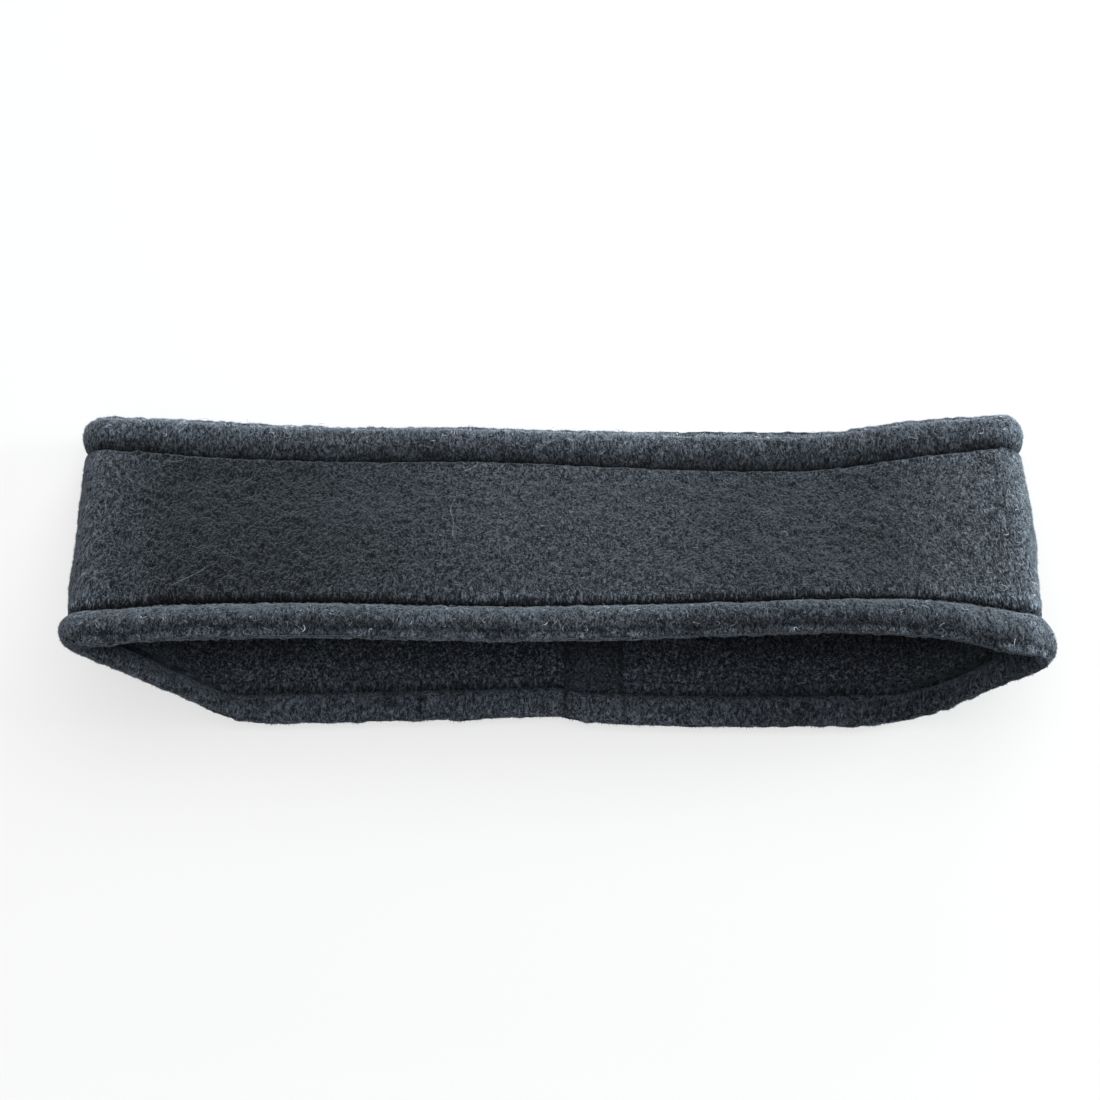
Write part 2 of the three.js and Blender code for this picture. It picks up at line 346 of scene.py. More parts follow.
# Materials: colours of each cloth and of its fibres, from root to tip
COLOURS = table(
    "cloth pit pile tip",
    ("panel", (0.006, 0.008, 0.010), (0.032, 0.037, 0.047), (0.235, 0.268, 0.32)),
    ("hem", (0.007, 0.009, 0.011), (0.056, 0.066, 0.081), (0.15, 0.172, 0.205)),
    ("seam", (0.006, 0.008, 0.010), (0.044, 0.051, 0.063), (0.11, 0.125, 0.15)),
)
NAP_COLOURS = ((0.034, 0.039, 0.05), (0.43, 0.485, 0.55))
NAP_SPREAD = {"scale": 900, "low": 0.35, "high": 0.7, "least": 0.15}

# Pattern of the pile: how much longer it is up the band, its curled strands, and its layers, each with
# the grains a metre and the levels that become 0 and 1
BRUSHED = {"outside": 3.8, "inside": 1.3, "hem": 2.2, "seam": 1.3}
STRAND_SIZE = (1.5, 0.9, 1.0)
STRAND_TURNS = ((0.3, 0.2, 0.6), (-0.2, 0.5, 1.5), (0.4, -0.3, 2.4))
LAYERS = table(
    "layer scale detail distortion low high",
    ("strands", 1600, 1.0, 0.9, 0.55, 0.70),
    ("clumps", 1400, 3.0, 0.8, 0.40, 0.62),
    ("mottle", 330, 2.0, 0.3, 0.3, 0.7),
    ("patches", 60, 2.0, 0.0, 0.3, 0.7),
)
LAYER_ROUGHNESS = 0.6
MOTTLED = {"gain": 0.75, "base": 0.47}
PATCHED = {"gain": 0.65, "base": 0.6}
RAISED = {"gain": 0.5, "base": 0.2}
RELIEF = {"clumps": 0.65, "strands": 0.35, "distance": 0.0003}

# Floor, lights and camera, in metres. Each light faces the origin, and the camera a place CAMERA_AIM up.
FLOOR_REACH = 3
PAPER_GLOW = 0.69
WORLD_LIGHT = 0.2
LIGHTS = table(
    "name place size watts colour",
    ("overhead", (0.1, 0.12, 1.1), 1.7, 18.0, (0.99, 0.98, 1.0)),
    ("back", (0.35, 1.2, 0.32), 0.5, 14.0, (0.9, 1.0, 1.0)),
    ("side", (1.15, 0.1, 0.32), 0.5, 16.5, (0.88, 1.0, 0.99)),
    ("fill", (-0.1, -0.8, 0.95), 0.7, 3.0, (1.0, 1.0, 1.0)),
)
CAMERA_ELEVATION = 53
CAMERA_DISTANCE = 0.9
CAMERA_AIM = 0.010
CAMERA_CLIP = 0.01
FOCAL_PIXELS = 3438
PHOTO_PIXELS = 1100
SENSOR_MM = 36


def read_table(rows, key, column, value):
    """Smooth curve through the rows of a table: one column, read at values of the key column."""
    keys = np.array([row[key] for row in rows], float)
    values = np.array([row[column] for row in rows], float)
    last = len(rows) - 1
    before = np.maximum(np.arange(last + 1) - 1, 0)
    after = np.minimum(np.arange(last + 1) + 1, last)
    slopes = (values[after] - values[before]) / (keys[after] - keys[before])
    i = np.clip(np.searchsorted(keys, value) - 1, 0, last - 1)
    span = keys[i + 1] - keys[i]
    s = np.clip((value - keys[i]) / span, 0, 1)
    rise = s * s * (3 - 2 * s)
    bend = s * (1 - s) ** 2 * span * slopes[i] + s * s * (s - 1) * span * slopes[i + 1]
    return values[i] + (values[i + 1] - values[i]) * rise + bend


def read_row(rows, key, column, value):
    """Straight lines through the rows of a table: one column, read at values of the key column."""
    return np.interp(value, [row[key] for row in rows], [row[column] for row in rows])


def smoothstep(value, low, high):
    s = np.clip((value - low) / (high - low), 0, 1)
    return s * s * (3 - 2 * s)


def rollers_at(share):
    """The four rollers of the section at one share of the band's height."""
    def read(column):
        return float(read_table(SECTIONS, "share", column, share))

    return [
        (read("heel_left_x"), read("heel_left_radius"), read("heel_left_radius")),
        (read("heel_right_x"), read("heel_right_radius"), read("heel_right_radius")),
        (read("fold_right_x"), read("fold_right_z"), read("fold_radius")),
        (read("fold_left_x"), read("fold_left_z"), read("fold_radius")),
    ]


def belt_at(share):
    """The belt as a fine polyline with its distances, and the distances of its named places."""
    rollers = rollers_at(share)
    angles = []
    for i, (x, z, radius) in enumerate(rollers):
        next_x, next_z, next_radius = rollers[(i + 1) % 4]
        dx, dz = next_x - x, next_z - z
        angles.append(math.atan2(dz, dx) - math.acos((radius - next_radius) / math.hypot(dx, dz)))
    points = []
    corners = []
    for i, (x, z, radius) in enumerate(rollers):
        corners.append(len(points))
        points.append((x + radius * math.cos(angles[i]), z + radius * math.sin(angles[i])))
        next_x, next_z, next_radius = rollers[(i + 1) % 4]
        turn = (angles[(i + 1) % 4] - angles[i]) % (2 * math.pi)
        corners.append(len(points))
        for k in range(ARC_POINTS):
            angle = angles[i] + turn * k / ARC_POINTS
            points.append((next_x + next_radius * math.cos(angle), next_z + next_radius * math.sin(angle)))
    points = np.array(points + points[:1])
    distances = np.concatenate([[0], np.cumsum(np.hypot(*np.diff(points, axis=0).T))])
    marks = {
        "floor_end": distances[corners[1]],
        "front_start": distances[corners[4]],
        "front_end": distances[corners[5]],
        "whole": distances[-1],
        "right_fold": distances[corners[3] + ARC_POINTS // 2],
        "left_fold": distances[corners[5] + ARC_POINTS // 2],
        "seam": SEAM_LINE - rollers[0][0],
    }
    return points, distances, marks


def section_weights(share):
    """How much each section counts at one share of the band's height."""
    shares = [row["share"] for row in SECTIONS]

    def weight(own):
        rows = [{"share": other, "weight": float(other == own)} for other in shares]
        return float(read_table(rows, "share", "weight", share))

    return [weight(own) for own in shares]


def wave_at(across, share):
    """Shift of the front wall in depth and height."""
    def read(column):
        return read_table(FRONT_WAVES, "across", column, across)

    levels = [read("lip_z"), read("lip_z"), 0 * across, read("groove_z"), read("edge_z")]
    height = sum(weight * level for weight, level in zip(section_weights(share), levels))
    return read("lip_y") * (1 - share) + read("edge_y") * share, height


def on_loop(share, wanted):
    """Points of the band's outer face at distances round the belt, and how far each is on the front."""
    points, distances, marks = belt_at(share)
    at = np.mod(wanted, marks["whole"])
    x = np.interp(at, distances, points[:, 0])
    z = np.interp(at, distances, points[:, 1])
    rising = smoothstep(at, marks["floor_end"], marks["front_start"])
    falling = 1 - smoothstep(at, marks["front_end"], marks["whole"])
    front = np.where(at <= marks["front_start"], rising, falling)
    across = np.clip((marks["front_end"] - at) / (marks["front_end"] - marks["front_start"]), 0, 1)
    wave_y, wave_z = wave_at(across, share)
    back_y = read_table(BACK_EDGE, "x", "y", x) * (1 - share) + BACK_FAR_Y * share
    front_y = float(read_table(SECTIONS, "share", "front_y", share)) + wave_y
    lift = EDGE_LIFT * max(0, 1 - share * BAND_HEIGHT / HEM_HEIGHT) ** 2
    place = np.stack([x, back_y + (front_y - back_y) * front, z + wave_z + lift * (1 - front)], axis=-1)

    def near(middle):
        return 1 - smoothstep(np.abs(at - middle), 0, FOLD_REACH)

    folds = {"left_fold": near(marks["left_fold"]), "right_fold": near(marks["right_fold"])}
    return {"place": place, "front": front, "across": across, **folds}


def steps_round(share, count):
    """Distances of count even steps round the belt, starting at the seam and passing both folds."""
    marks = belt_at(share)[2]
    stops = [marks["seam"], marks["right_fold"], marks["left_fold"], marks["seam"] + marks["whole"]]
    back = (1 - FRONT_COLUMNS) / 2
    return np.interp(np.arange(count) / count, [0, back, 1 - back, 1], stops)


def ring_at(share, count):
    """One ring of the outer face with its outward normals."""
    ring = on_loop(share, steps_round(share, count))
    low, high = max(share - SLOPE_STEP, 0), min(share + SLOPE_STEP, 1)
    along = on_loop(high, steps_round(high, count))["place"] - on_loop(low, steps_round(low, count))["place"]
    around = np.roll(ring["place"], -1, 0) - np.roll(ring["place"], 1, 0)
    return {**ring, "up": unit(along), "normal": unit(np.cross(along, around))}


def edge_shift(share, ring):
    """How far up the band the turned edges lie from their even height, less their drop at the folds."""
    height, front = share * BAND_HEIGHT, ring["front"]
    low, high = (max(0, 1 - at / EDGE_SHIFT["reach"]) for at in (height, BAND_HEIGHT - height))
    lower = EDGE_SHIFT["lower_back"] * (1 - front) + EDGE_SHIFT["lower_front"] * front
    left, right = (1 - smoothstep(at, 0, FOLD_DROP["across"]) for at in (ring["across"], 1 - ring["across"]))
    drop = (FOLD_DROP["left"] * left + FOLD_DROP["right"] * right) * smoothstep(front, FOLD_DROP["front"], 1)
    return low * lower + high * EDGE_SHIFT["upper"] - max(0, 1 - height / FOLD_DROP["reach"]) * drop


def wander_at(share, across):
    """How far a place lies from its even height up the band, because the sewing wanders."""
    height, top = share * BAND_HEIGHT, BAND_HEIGHT - HEM_HEIGHT
    low = float(np.interp(height, [0, HEM_HEIGHT, BAND_HEIGHT / 2], [0, 1, 0]))
    high = float(np.interp(height, [BAND_HEIGHT / 2, top, BAND_HEIGHT], [0, 1, 0]))
    lower, upper = (read_table(WANDER, "across", side, across) for side in ("lower", "upper"))
    return low * lower + high * upper


def unit(vectors):
    return vectors / np.maximum(np.linalg.norm(vectors, axis=-1, keepdims=True), 1e-12)


def noise(points, wavelength, seed):
    """Smooth random values from -1 to 1 at points in space."""
    cell = points / wavelength
    base = np.floor(cell).astype(np.int64)
    blend = cell - base
    blend = blend * blend * (3 - 2 * blend)
    total = np.zeros(points.shape[:-1])
    for corner in np.ndindex(2, 2, 2):
        mixed = seed * SEED_FACTOR
        weight = np.ones(points.shape[:-1])
        for axis in range(3):
            mixed = mixed ^ ((base[..., axis] + corner[axis]) * CELL_FACTORS[axis])
            weight = weight * (blend[..., axis] if corner[axis] else 1 - blend[..., axis])
        for shift, factor in MIXING:
            mixed = ((mixed ^ (mixed >> shift)) * factor) & 0xFFFFFFFF
        total += weight * (mixed / 0x7FFFFFFF - 1)
    return total


def sink(distance, depth, reach):
    """How far a face drops towards a stitch line, as a quarter round."""
    s = np.clip(1 - distance / reach, 0, 1)
    return -depth * (1 - np.sqrt(1 - s * s))


def hump(distance, width):
    """A smooth hump: 1 in its middle, and next to nothing at twice its width."""
    return np.exp(-((distance / width) ** 2))


def even_line(points, step):
    """Points at even steps along a polyline, both ends kept."""
    points = np.array(points, float)
    lengths = np.concatenate([[0], np.cumsum(np.linalg.norm(np.diff(points, axis=0), axis=1))])
    count = max(2, round(lengths[-1] / step) + 1)
    at = np.linspace(0, lengths[-1], count)
    return np.stack([np.interp(at, lengths, points[:, k]) for k in range(points.shape[1])], axis=1)


def with_pile(points, pile):
    """An outline's points with how much of the pile's relief they take."""
    return np.concatenate([points, np.full((len(points), 1), float(pile))], axis=1)


def hem_outline():
    """Outline of a turned hem: distance from its own edge, how far out it lies, and its pile. It starts at
    the flap's cut end, goes round the turned edge and up to the stitch line, and back through the slot."""
    half, gap = HEM_THICKNESS / 2, SLOT["width"] / 2
    flap_end = [(FLAP_SHOWN + row["past"], -half - row["under"]) for row in FLAP_END]
    under = np.linspace(0, math.pi / 2, UNDER_POINTS)
    over = np.linspace(OUTLINE_GAP["angle"], math.pi / 2, OVER_POINTS)
    turned = [(half - half * math.sin(a), -half - half * math.cos(a)) for a in under]
    turned += [(HEM_ROUND * (1 - math.cos(a)), -half + half * math.sin(a)) for a in over]
    heights = np.linspace(HEM_ROUND + OUTLINE_GAP["along"], HEM_HEIGHT, FACE_POINTS)
    face = [(a, sink(HEM_HEIGHT - a, **HEM_SINK)) for a in heights]
    outside = even_line(flap_end + turned + face, HEM_STEP)
    stitch_end = [face[-1], (HEM_HEIGHT + gap, -half + gap), (HEM_HEIGHT - SLOT["from_line"], -half + gap)]
    stitch_end = even_line(stitch_end, STITCH_END_STEP)
    deep = half + SLOT["from_edge"]
    inner_end = [(deep, -half + gap), (deep - SLOT["round"], -half), (deep, -half - gap)]
    slot = even_line([stitch_end[-1], (FLAP_HEIGHT, -half + gap), *inner_end, outside[0]], SLOT_STEP)
    return np.concatenate([with_pile(outside, 1), with_pile(stitch_end[1:], 0), with_pile(slot[1:-1], 0)])


def panel_outline():
    """Outline of the panel: the outer face up to the far stitch line, and the inner face back."""
    low, high = HEM_HEIGHT - PAST_LINE, BAND_HEIGHT - HEM_HEIGHT + PAST_LINE
    heights = np.linspace(low, high, PANEL_POINTS)
    outer = even_line([(a, sink(min(a - low, high - a), **PANEL_SINK)) for a in heights], PANEL_OUTER_STEP)
    tuck_low, tuck_high = FLAP_SHOWN - TUCK_UNDER, BAND_HEIGHT - FLAP_SHOWN + TUCK_UNDER
    inner = even_line([(tuck_high, -WALL), (tuck_low, -WALL)], PANEL_INNER_STEP)
    return np.concatenate([with_pile(outer, 1), with_pile(inner, 1)])


def sweep(outline, to_share, count, puff):
    """Vertices of an outline swept round the loop, with what each place is like."""
    rings = [ring_at(to_share(along), count) for along, _, _ in outline]
    for ring, (along, _, _) in zip(rings, outline):
        shift = wander_at(to_share(along), ring["across"]) + edge_shift(to_share(along), ring)
        ring["place"] = ring["place"] + ring["up"] * shift[:, None]
    grid = {key: np.stack([ring[key] for ring in rings]) for key in rings[0]}
    for column, label in enumerate(("along", "out", "pile")):
        grid[label] = np.broadcast_to(outline[:, column:column + 1], grid["front"].shape)
    outer = grid["out"] > BETWEEN_LAYERS
    folds = puff["left_fold"] * grid["left_fold"] + puff["right_fold"] * grid["right_fold"]
    crown = np.where(outer, np.sin(np.pi * np.clip(grid["along"] / HEM_HEIGHT, 0, 1)), 0)
    proud = crown * np.maximum(puff["front"] * grid["front"], folds)
    clear = smoothstep(grid["place"][..., 2] + grid["out"] * grid["normal"][..., 2], **OFF_FLOOR)
    ground = GROUND * clear * np.where(outer, -1, 1) * grid["pile"]
    grid["place"] = grid["place"] + grid["normal"] * (grid["out"] + proud + ground)[..., None]
    return grid


def is_outside(grid):
    """Which places lie on the outer face, and not on the flap or the inner face."""
    return grid["out"] > BETWEEN_LAYERS + FACE_MARGIN


def is_edge(grid, reach):
    """Which places of the pile lie less than the reach from their own turned edge."""
    return (grid["along"] < reach) & (grid["pile"] > 0)


def from_stitch_line(grid):
    """Distance up or down the band from the nearer stitch line."""
    return np.minimum(np.abs(grid["along"] - HEM_HEIGHT), np.abs(grid["along"] - BAND_HEIGHT + HEM_HEIGHT))


def fluff_of(grid):
    """How long the fibres stand: none in a groove, and their whole length away from it."""
    def risen(distance, face):
        return np.clip((distance - BARE_AT_LINE[face]) / FLUFF_REACH[face], 0, 1)

    inner = risen(np.abs(grid["along"] - FLAP_SHOWN), "inside") * INSIDE_FLUFF
    return np.where(is_outside(grid), risen(from_stitch_line(grid), "outside"), inner)


def face_normals(place):
    """Outward normals of a swept grid."""
    across = np.roll(place, -1, 0) - np.roll(place, 1, 0)
    around = np.roll(place, -1, 1) - np.roll(place, 1, 1)
    return unit(np.cross(across, around))


def pucker(grid, seed):
    """The stitches' pull beside a stitch line, the crease above the turned edge and the ridge under it."""
    pull = 0.5 + 0.5 * noise(grid["place"] * ALONG_LINE, STITCH_PITCH / 2, seed)
    sunk = PUCKER["height"] * pull * np.exp(-from_stitch_line(grid) / PUCKER["reach"])
    broken = smoothstep(noise(grid["place"] * ALONG_EDGE, CREASE["length"], seed + 1), **CREASE_BROKEN)
    crease = CREASE["depth"] * hump(grid["out"] - CREASE["out"], CREASE["width"]) * broken
    ridge = RIDGE["height"] * hump(grid["out"] - RIDGE["out"], RIDGE["width"])
    sewn = is_outside(grid) & (grid["pile"] > 0)
    return (ridge - crease) * is_edge(grid, EDGE_BAND) - sunk * sewn


def painted_tone_of(grid, painted_profile, brushed, side):
    """How pale the pile is drawn: painted highlights over shoulders, folds and turned edges, painted shade in
    a groove, deep inside the loop and at the flap's cut end, painted light and shade across the front, and
    dark lines across the hem.
    """
    outside = is_outside(grid)
    on_back = grid["front"] < 0.5
    painted_across = read_row(FRONT_PAINTED_LIGHT, "across", brushed, grid["across"])
    folds = FOLD_PAINTED_HIGHLIGHT["right"] * grid["right_fold"] + FOLD_PAINTED_HIGHLIGHT["left"] * grid["left_fold"]
    inside = read_row(INSIDE_PAINTED_LIGHT, "along", side, grid["along"])
    inside = inside * read_row(INSIDE_ACROSS_PAINTED_LIGHT, "x", "tone", grid["place"][..., 0])
    line = FLAP_END_PAINTED_SHADE["depth"] * hump(grid["along"] - FLAP_SHOWN, FLAP_END_PAINTED_SHADE["width"])
    tone = np.where(outside, painted_profile * (painted_across + folds), inside * (1 - line))
    for dark_line in HEM_DARK_LINES:
        here = (grid["along"] < HEM_HEIGHT) & (outside != dark_line["inside"]) & (on_back == dark_line["inside"])
        cut = dark_line["depth"] * hump(grid["place"][..., 0] - dark_line["x"], HEM_DARK_LINE_WIDTH)
        tone = tone * (1 - cut * here)
    return np.minimum(tone, TONE_LIMIT)


def painted_edge_tone(grid, side):
    """Painted light and shade over the round of a turned edge: painted shade in the crease, a painted
    highlight on the ridge under it, and its own painted light on the side that lies away.
    """
    front = read_row(EDGE_PAINTED_LIGHT, "out", side, grid["out"])
    under = read_row(EDGE_PAINTED_LIGHT, "out", "under" if side == "lower" else side, grid["out"])
    tone = front * grid["front"] + under * (1 - grid["front"])
    return np.where(is_edge(grid, EDGE_BAND), tone, 1)


def dashed(grid, seed):
    """How strongly the turned edge's ridge shows: it comes and goes every few millimetres."""
    wave = noise(grid["place"] * ALONG_EDGE, DASHES["length"], seed)
    return 1 + DASHES["gain"] * wave * is_edge(grid, DASHES["reach"])


def roughen(grid, seed, swelling):
    """Moves a swept grid along its own normals: swells, clumps and tufts of pile, and the sewing's pull."""
    place = grid["place"]
    pile = place * BRUSHED_PILE
    to_edge = np.minimum(grid["along"], BAND_HEIGHT - grid["along"])
    rough = 1 + EDGE_ROUGH["gain"] * np.clip(1 - to_edge / EDGE_ROUGH["reach"], 0, 1)
    height = SWELL["height"] * noise(place, SWELL["wavelength"], seed) * swelling
    height = height + CLUMP["height"] * noise(pile, CLUMP["wavelength"], seed + 1)
    height = height + TUFT["height"] * noise(pile, TUFT["wavelength"], seed + 2) * rough
    height = height * grid["pile"] + pucker(grid, seed + 3)
    grid["place"] = place + face_normals(place) * height[..., None]
    grid["place"][..., 2] = np.maximum(grid["place"][..., 2], CLOTH_FLOOR)


def frame_shift():
    """From the tables' own millimetres to the frame, read from where the seam allowance is."""
    low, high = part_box("back_seam")
    far_y = BACK_FAR_Y - FLAP_HEIGHT - SEAM_END_GAP
    return np.array([low.x / MM - SEAM_LEFT, high.y / MM - far_y, 0])


SHIFT = frame_shift()


def mesh_object(name, vertices, faces, material, slot_name, **attributes):
    """A closed smooth mesh piece that rides on the one body. Vertices are table millimetres, and each
    attribute has a value for every vertex."""
    mesh = bpy.data.meshes.new(name)
    vertices = (np.asarray(vertices, float).reshape(-1, 3) + SHIFT) * MM
    faces = np.asarray(faces, np.int32)
    mesh.vertices.add(len(vertices))
    mesh.vertices.foreach_set("co", vertices.ravel())
    mesh.loops.add(faces.size)
    mesh.loops.foreach_set("vertex_index", faces.ravel())
    mesh.polygons.add(len(faces))
    mesh.polygons.foreach_set("loop_start", np.arange(len(faces), dtype=np.int32) * faces.shape[1])
    mesh.update(calc_edges=True)
    mesh.shade_smooth()
    mesh.materials.append(material)
    for label, values in attributes.items():
        mesh.attributes.new(label, "FLOAT", "POINT").data.foreach_set("value", np.ravel(values))
    piece = bpy.data.objects.new(name, mesh)
    bpy.context.scene.collection.objects.link(piece)
    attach(piece, "root")
    return piece


def grid_faces(rows, columns):
    """Quads of a grid that closes on itself both ways."""
    r, c = np.meshgrid(np.arange(rows), np.arange(columns), indexing="ij")
    below, right = (r + 1) % rows, (c + 1) % columns
    corners = [r * columns + c, below * columns + c, below * columns + right, r * columns + right]
    return np.stack(corners, axis=-1).reshape(-1, 4)


def grid_object(name, grid, material, slot_name):
    rows, columns = grid["place"].shape[:2]
    values = {label: grid[label] for label in ("tone", "brushed")}
    return mesh_object(name, grid["place"], grid_faces(rows, columns), material, slot_name, **values)


def drawn(random, weight, count):
    """Rows and columns of a grid, drawn at random by a weight for each place."""
    flat = weight.ravel()
    return np.divmod(random.choice(flat.size, count, p=flat / flat.sum()), weight.shape[1])


def three_sided(side, other):
    """Three directions, a third of a turn apart, from two that are square to each other."""
    return [math.cos(a) * side + math.sin(a) * other for a in (0, 2 * math.pi / 3, 4 * math.pi / 3)]


def copied(count, points, triangles):
    """The triangles of one small shape, repeated for many shapes that have as many points each."""
    return (np.arange(count)[:, None, None] * points + triangles).reshape(-1, 3)


def needles(name, grid, allowed, count, slot_name, seed):
    """Short fibres that stand out of a swept grid, each a closed three-sided point, pale at its tip."""
    random = np.random.default_rng(seed)
    place, normal = grid["place"], face_normals(grid["place"])
    rows, columns = place.shape[:2]
    high = np.linalg.norm(np.roll(place, -1, 0) - place, axis=2)
    wide = np.linalg.norm(np.roll(place, -1, 1) - place, axis=2)
    row, column = drawn(random, high * wide * allowed * grid["tone"] * (grid["fluff"] > 0), count)
    u, v = random.random((2, count, 1))
    foot = place[row, column]
    above, beside = place[(row + 1) % rows, column], place[row, (column + 1) % columns]
    foot = foot + (above - foot) * u + (beside - foot) * v
    up = normal[row, column]
    lean = random.normal(size=(count, 3)) * FIBRE_LEAN
    lean = unit(lean - up * (lean * up).sum(1, keepdims=True))
    rise = random.uniform(*FIBRE["rise"], (count, 1))
    direction = unit(up * rise + lean * np.sqrt(1 - rise * rise))
    length = random.uniform(*FIBRE["length"], (count, 1)) * grid["fluff"][row, column][:, None]
    radius = random.uniform(*FIBRE["radius"], (count, 1))
    side = unit(np.cross(direction, unit(lean + up * FIBRE["twist"])))
    turns = three_sided(side, np.cross(direction, side))
    roots = [foot - up * FIBRE["root"] + radius * turn for turn in turns]
    vertices = np.stack(roots + [foot + direction * length], axis=1)
    vertices[..., 2] = np.maximum(vertices[..., 2], FIBRE["floor"])
    faces = copied(count, 4, np.array([(0, 2, 1), (0, 1, 3), (1, 2, 3), (2, 0, 3)]))
    tips = np.tile([0.0, 0.0, 0.0, 1.0], count)
    # Each fibre takes the painted light and shade of the place it stands on
    tones = np.repeat(np.minimum(grid["tone"][row, column], FIBRE["tone_limit"]), 4)
    return mesh_object(name, vertices, faces, NAP, slot_name, tip=tips, tone=tones)


def tubes(name, paths, radius, material, slot_name, **tones):
    """Thin closed three-sided tubes through paths of points, pointed at both ends."""
    count, length = paths.shape[:2]
    along = unit(np.gradient(paths, axis=1))
    side = unit(np.cross(along, TUBE_SIDE))
    at = (np.arange(length) + TUBE_END["first"]) / (length - TUBE_END["less"])
    taper = radius * np.sin(np.pi * at) ** 0.5
    turns = np.stack(three_sided(side, np.cross(along, side)), axis=2)
    rings = paths[:, :, None] + turns * taper[None, :, None, None]
    faces = []
    for ring in range(length - 1):
        for k in range(3):
            a, b = ring * 3 + k, ring * 3 + (k + 1) % 3
            faces += [(a, b, b + 3), (a, b + 3, a + 3)]
    last = (length - 1) * 3
    faces += [(0, 2, 1), (last, last + 1, last + 2)]
    values = {label: np.repeat(value, length * 3) for label, value in tones.items()}
    return mesh_object(name, rings, copied(count, length * 3, np.array(faces)), material, slot_name, **values)


def curls(name, grid, allowed, count, slot_name, seed):
    """Longer fibres that lie curled on the pile."""
    random = np.random.default_rng(seed)
    normal = face_normals(grid["place"])
    grown = (grid["fluff"] > CURL["fluff"]) & (normal[..., 2] > CURL["facing_up"])
    row, column = drawn(random, allowed * grid["tone"] * grown, count)
    up = normal[row, column]
    first = unit(np.cross(up, random.normal(size=(count, 3)) * CURL["heading"]))
    second = np.cross(up, first)
    bend = random.normal(0, CURL["bend"], (count, 1))
    bend = bend + random.normal(0, CURL["bend"] / 2, (count, CURL_POINTS))
    heading = np.cumsum(bend, axis=1)[..., None]
    step = random.uniform(*CURL["length"], (count, 1, 1)) / CURL_POINTS
    path = np.cumsum(step * (np.cos(heading) * first[:, None] + np.sin(heading) * second[:, None]), axis=1)
    lift = random.uniform(*CURL["lift"], (count, 1, 1))
    paths = grid["place"][row, column][:, None] + path + up[:, None] * lift
    # Each curl takes the painted light and shade of its place, some paler at random
    tone = grid["tone"][row, column] * (CURL["tone"] + CURL["paler"] * random.random(count) ** 4)
    return tubes(name, paths, CURL["radius"], NAP, slot_name, tip=np.full(count, CURL["tip"]), tone=tone)


def stitches(name, to_share, material, slot_name):
    """A hem's thread: a row of short stitches at the bottom of a groove, each arched into the cloth."""
    share = to_share(HEM_HEIGHT)
    count = round(belt_at(share)[2]["whole"] / STITCH_PITCH)
    ring = ring_at(share, count * STITCH_STEPS)
    at = np.linspace(-1, 1, STITCH_POINTS)
    arch = STITCH_RADIUS * (STITCH_ARCH["rise"] - STITCH_ARCH["drop"] * at * at)
    line = ring["place"] + ring["up"] * wander_at(share, ring["across"])[:, None]
    shown = round(STITCH_STEPS * STITCH_LENGTH / STITCH_PITCH)
    places = np.arange(count)[:, None] * STITCH_STEPS + np.linspace(0, shown, STITCH_POINTS).astype(int)
    paths = line[places] + ring["normal"][places] * (STITCH_OUT + arch)[None, :, None]
    return tubes(name, paths, STITCH_RADIUS, material, slot_name)


def strays(name, grid, hairs, slot_name):
    """Single long fibres that lie across the front, each through three places of the face."""
    columns = np.flatnonzero(grid["front"][0] > STRAY["front"])
    rows = np.flatnonzero(grid["out"][:, 0] > BETWEEN_LAYERS + STRAY["margin"])

    def on_face(x, along):
        row = rows[np.argmin(np.abs(grid["along"][rows, 0] - along))]
        column = columns[np.argmin(np.abs(grid["place"][row, columns, 0] - x))]
        return grid["place"][row, column] + grid["normal"][row, column] * STRAY["lift"]

    paths = []
    t = np.linspace(0, 1, STRAY_POINTS)[:, None]
    for hair in hairs:
        first = on_face(hair["x"], hair["along"])
        last = on_face(hair["to_x"], hair["to_along"])
        middle_x = (hair["x"] + hair["to_x"]) / 2 + hair["bow"]
        middle = on_face(middle_x, (hair["along"] + hair["to_along"]) / 2)
        path = first * (1 - t) * (1 - 2 * t) + middle * 4 * t * (1 - t) + last * t * (2 * t - 1)
        paths.append(path + np.sin(t * math.pi * hair["curls"]) * STRAY["curl"])
    tip = np.full(len(paths), 1.0)
    return tubes(name, np.array(paths), STRAY["radius"], NAP, slot_name, tip=tip, tone=tip * STRAY["tone"])


def node_tree(name):
    material = bpy.data.materials.new(name)
    material.use_nodes = True
    tree = material.node_tree
    return material, tree, tree.nodes["Principled BSDF"]


def set_inputs(node, values):
    for label, value in values.items():
        node.inputs[label].default_value = value


def attribute(tree, label):
    """A value that the mesh carries at each place."""
    node = tree.nodes.new("ShaderNodeAttribute")
    node.attribute_name = label
    return node.outputs["Fac"]


def object_place(tree):
    return tree.nodes.new("ShaderNodeTexCoord").outputs["Object"]


def toned(tree, colour):
    """A colour times the tone that the mesh carries at each place, which holds the painted light and shade.
    """
    scaled = tree.nodes.new("ShaderNodeVectorMath")
    scaled.operation = "SCALE"
    tree.links.new(colour, scaled.inputs[0])
    tree.links.new(attribute(tree, "tone"), scaled.inputs["Scale"])
    return scaled.outputs["Vector"]


